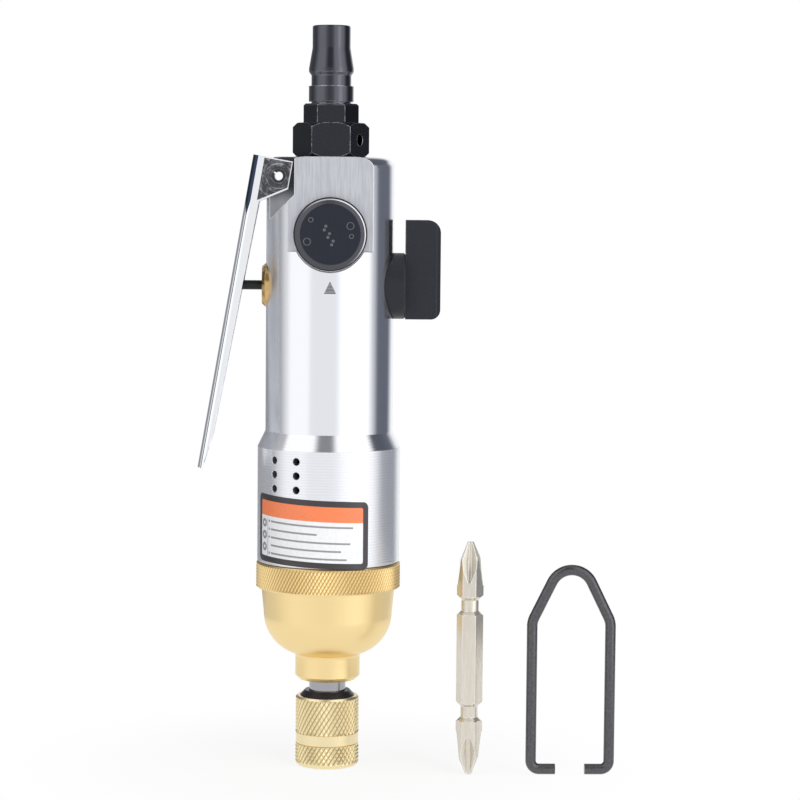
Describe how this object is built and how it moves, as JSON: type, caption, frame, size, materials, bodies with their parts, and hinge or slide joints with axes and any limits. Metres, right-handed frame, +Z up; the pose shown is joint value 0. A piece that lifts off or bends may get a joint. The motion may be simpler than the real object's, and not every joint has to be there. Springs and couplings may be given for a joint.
{
  "type": "pneumatic screwdriver",
  "caption": "Straight pneumatic impact screwdriver with throttle lever, regulator knob, reversing wing, hose plug and quick-change chuck, with a loose bit and hanger.",
  "frame": {"origin": "centre of the bit socket's mouth, at the lower end of the chuck sleeve", "axes": "+Z up the tool's axis to the air plug, -Y to the front with the regulator knob, -X to the throttle lever, +X to the reversing wing"},
  "size_m": [0.1158, 0.0402, 0.206],
  "materials": {
    "housing_aluminium": "turned, satin",
    "black_steel": "black oxide",
    "lever_chrome": "polished",
    "bush_brass": "turned",
    "knob_black": "gloss black",
    "wing_plastic": "moulded, matt",
    "case_gold": "satin gold plate",
    "sleeve_gold": "pale gold plate, knurled",
    "ring_black": "satin black",
    "bright_steel": "ground",
    "dark_steel": "hardened, oiled",
    "wire_steel": "dark, semi-gloss",
    "seal_rubber": "matt",
    "vane_phenolic": "machined",
    "bush_bronze": "sintered"
  },
  "bodies": {
    "root": {"housing": "housing_aluminium", "inlet_bushing": "black_steel", "inlet_screen": "bright_steel", "inlet_seal": "seal_rubber", "air_plug": "black_steel", "lever_pin": "dark_steel", "throttle_bush": "bush_brass", "throttle_spring": "bright_steel", "throttle_orings": "seal_rubber", "regulator_oring": "seal_rubber", "regulator_snap_ring": "dark_steel", "reverse_orings": "seal_rubber", "reverse_snap_ring": "dark_steel", "rear_plate": "housing_aluminium", "rear_bearing": "bright_steel", "motor_cylinder": "dark_steel", "cylinder_dowel": "bright_steel", "front_plate": "housing_aluminium", "front_bearing": "bright_steel", "hammer_case": "case_gold", "anvil_bush": "bush_bronze", "thrust_washer": "bright_steel", "driver_bit": "bright_steel", "hanger": "wire_steel"},
    "lever": {"throttle_lever": "lever_chrome"},
    "stem": {"throttle_stem": "ring_black", "throttle_seal": "seal_rubber"},
    "regulator": {"regulator_knob": "knob_black", "regulator_spool": "bright_steel"},
    "reverse": {"reverse_wing": "wing_plastic", "reverse_spool": "bright_steel", "reverse_pin": "dark_steel"},
    "motor": {"rotor": "dark_steel", "vanes": "vane_phenolic", "rear_bearing_race": "bright_steel", "front_bearing_race": "bright_steel", "hammer_cage": "dark_steel", "hammer_pins": "bright_steel"},
    "hammer_a": {"front_hammer": "dark_steel"},
    "hammer_b": {"rear_hammer": "dark_steel"},
    "output": {"anvil": "bright_steel", "nose_ring": "dark_steel", "sleeve_spring": "bright_steel", "spring_retainer": "ring_black", "shank_snap_ring": "dark_steel"},
    "sleeve": {"chuck_sleeve": "sleeve_gold"},
    "ball": {"locking_ball": "bright_steel"}
  },
  "joints": [
    {"name": "lever_pivot", "type": "hinge", "parent": "root", "child": "lever", "pos_m": [-0.0143, 0, 0.1646], "axis": [0, -1, 0], "range_deg": [0, 8], "stiffness_Nm_per_rad": 0.3, "springref_deg": -9.17},
    {"name": "stem_slide", "type": "slide", "parent": "root", "child": "stem", "axis": [1, 0, 0], "range_m": [0, 0.0044], "deforming": ["throttle_spring"]},
    {"name": "regulator_turn", "type": "hinge", "parent": "root", "child": "regulator", "pos_m": [0, 0, 0.1489], "axis": [0, -1, 0], "range_deg": [-90, 90]},
    {"name": "reverse_turn", "type": "hinge", "parent": "root", "child": "reverse", "pos_m": [0, 0, 0.1345], "axis": [1, 0, 0], "range_deg": [-45, 45]},
    {"name": "motor_spin", "type": "hinge", "parent": "root", "child": "motor", "pos_m": [0, 0, 0.09], "axis": [0, 0, 1], "continuous": true},
    {"name": "hammer_a_swing", "type": "hinge", "parent": "motor", "child": "hammer_a", "pos_m": [0.0116, 0, 0.046], "axis": [0, 0, 1], "range_deg": [-3, 3]},
    {"name": "hammer_b_swing", "type": "hinge", "parent": "motor", "child": "hammer_b", "pos_m": [-0.0116, 0, 0.056], "axis": [0, 0, 1], "range_deg": [-3, 3]},
    {"name": "anvil_spin", "type": "hinge", "parent": "root", "child": "output", "pos_m": [0, 0, 0.03], "axis": [0, 0, 1], "continuous": true},
    {"name": "sleeve_slide", "type": "slide", "parent": "output", "child": "sleeve", "axis": [0, 0, 1], "range_m": [0, 0.0032], "stiffness_N_per_m": 1500, "springref_m": -0.004, "deforming": ["sleeve_spring"]},
    {"name": "ball_slide", "type": "slide", "parent": "output", "child": "ball", "axis": [1, 0, 0], "range_m": [0, 0.0011]}
  ],
  "couplings": [
    {"joint": "stem_slide", "follows": "lever_pivot", "m_per_rad": 0.03123},
    {"joint": "anvil_spin", "follows": "motor_spin", "ratio": 1},
    {"joint": "ball_slide", "follows": "sleeve_slide", "ratio": 0.3125}
  ]
}
